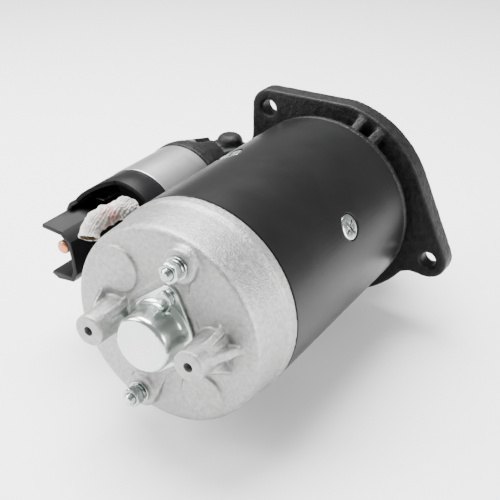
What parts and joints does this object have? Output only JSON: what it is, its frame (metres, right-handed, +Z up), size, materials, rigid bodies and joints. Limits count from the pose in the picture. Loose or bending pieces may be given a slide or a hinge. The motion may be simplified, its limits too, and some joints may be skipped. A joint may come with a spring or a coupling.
{
  "type": "starter motor",
  "caption": "Starter motor with a ribbed rear end shield, cylindrical yoke, side-mounted solenoid with copper stud and drive pinion in a flanged nose housing.",
  "frame": {"origin": "middle of the assembly's footprint on the ground plane, under its lowest flange ear", "axes": "+Y along the shaft towards the drive end, +Z up, +X away from the solenoid"},
  "size_m": [0.1981, 0.2686, 0.137],
  "materials": {
    "black_paint": "satin black enamel over a seamless steel tube",
    "rough_black": "rough black paint on cast iron",
    "cast_aluminium": "bead-blasted die-cast aluminium",
    "bright_zinc": "bright plated pressed steel",
    "satin_zinc": "satin zinc plate",
    "steel": "machined steel, lightly oiled",
    "lamination": "stacked steel laminations",
    "copper": "bare copper",
    "bronze": "sintered bronze",
    "brass": "bright brass",
    "carbon": "pressed copper-graphite",
    "black_plastic": "moulded black phenolic",
    "rubber": "matt black rubber",
    "tape": "varnished cotton tape over copper strip",
    "white_sleeve": "woven glass sleeve, off white"
  },
  "bodies": {
    "motor": {"battery_terminal": "copper", "brush_plate": "satin_zinc", "brush_spring_1": "steel", "brush_spring_2": "steel", "brush_spring_3": "steel", "brush_spring_4": "steel", "centre_bearing_plate": "cast_aluminium", "drive_end_housing": "rough_black", "end_cap": "bright_zinc", "end_cap_screw_1": "satin_zinc", "end_cap_screw_2": "satin_zinc", "field_lead_braid": "copper", "field_lead_sleeve": "white_sleeve", "field_winding": "tape", "fork_pivot_pin": "steel", "lead_grommet": "rubber", "motor_terminal": "copper", "motor_terminal_nut": "brass", "nose_bush": "bronze", "plunger_spring": "steel", "pole_screw_1": "satin_zinc", "pole_screw_2": "satin_zinc", "pole_screw_3": "satin_zinc", "pole_screw_4": "satin_zinc", "pole_shoe_1": "lamination", "pole_shoe_2": "lamination", "pole_shoe_3": "lamination", "pole_shoe_4": "lamination", "rear_bush": "bronze", "rear_end_shield": "cast_aluminium", "solenoid_cap": "black_plastic", "solenoid_case": "satin_zinc", "solenoid_coil": "copper", "solenoid_core": "steel", "solenoid_screw_1": "satin_zinc", "solenoid_screw_2": "satin_zinc", "spade_terminal": "satin_zinc", "spring_washer_1": "satin_zinc", "spring_washer_2": "satin_zinc", "through_bolt_1": "steel", "through_bolt_2": "steel", "through_bolt_nut_1": "satin_zinc", "through_bolt_nut_2": "satin_zinc", "through_bolt_washer_1": "satin_zinc", "through_bolt_washer_2": "satin_zinc", "yoke": "black_paint"},
    "armature": {"armature_shaft": "steel", "armature_core": "lamination", "armature_winding": "copper", "commutator": "copper"},
    "drive": {"clutch_drive": "steel", "clutch_rollers": "steel"},
    "pinion": {"pinion": "steel"},
    "fork": {"shift_fork": "steel"},
    "plunger": {"plunger": "steel"},
    "bridge": {"contact_bridge": "copper"},
    "brush_1": {"brush_1": "carbon"},
    "brush_2": {"brush_2": "carbon"},
    "brush_3": {"brush_3": "carbon"},
    "brush_4": {"brush_4": "carbon"}
  },
  "joints": [
    {"name": "armature_spin", "type": "hinge", "parent": "motor", "child": "armature", "pos_m": [0.01765, -0.07775, 0.07291], "axis": [0, 1, 0], "continuous": true},
    {"name": "drive_slide", "type": "slide", "parent": "armature", "child": "drive", "axis": [0, 1, 0], "range_m": [0, 0.014]},
    {"name": "pinion_freewheel", "type": "hinge", "parent": "drive", "child": "pinion", "pos_m": [0.01765, 0.09225, 0.07291], "axis": [0, 1, 0], "continuous": true},
    {"name": "fork_swing", "type": "hinge", "parent": "motor", "child": "fork", "pos_m": [-0.03835, 0.06145, 0.07291], "axis": [0, 0, 1], "range_deg": [0, 14.5]},
    {"name": "plunger_pull", "type": "slide", "parent": "motor", "child": "plunger", "axis": [0, -1, 0], "range_m": [0, 0.008], "deforming": ["plunger_spring"]},
    {"name": "bridge_close", "type": "slide", "parent": "motor", "child": "bridge", "axis": [0, -1, 0], "range_m": [0, 0.003]},
    {"name": "brush_1_lift", "type": "slide", "parent": "motor", "child": "brush_1", "axis": [0.8949, 0, 0.4462], "range_m": [0, 0.006], "stiffness_N_per_m": 500, "springref_m": -0.01, "deforming": ["brush_spring_1"]},
    {"name": "brush_2_lift", "type": "slide", "parent": "motor", "child": "brush_2", "axis": [-0.4462, 0, 0.8949], "range_m": [0, 0.006], "stiffness_N_per_m": 500, "springref_m": -0.01, "deforming": ["brush_spring_2"]},
    {"name": "brush_3_lift", "type": "slide", "parent": "motor", "child": "brush_3", "axis": [-0.8949, 0, -0.4462], "range_m": [0, 0.006], "stiffness_N_per_m": 500, "springref_m": -0.01, "deforming": ["brush_spring_3"]},
    {"name": "brush_4_lift", "type": "slide", "parent": "motor", "child": "brush_4", "axis": [0.4462, 0, -0.8949], "range_m": [0, 0.006], "stiffness_N_per_m": 500, "springref_m": -0.01, "deforming": ["brush_spring_4"]}
  ],
  "couplings": [
    {"joint": "fork_swing", "follows": "drive_slide", "rad_per_m": 17.857},
    {"joint": "plunger_pull", "follows": "drive_slide", "ratio": 0.5607},
    {"joint": "bridge_close", "follows": "drive_slide", "ratio": 0.2}
  ]
}
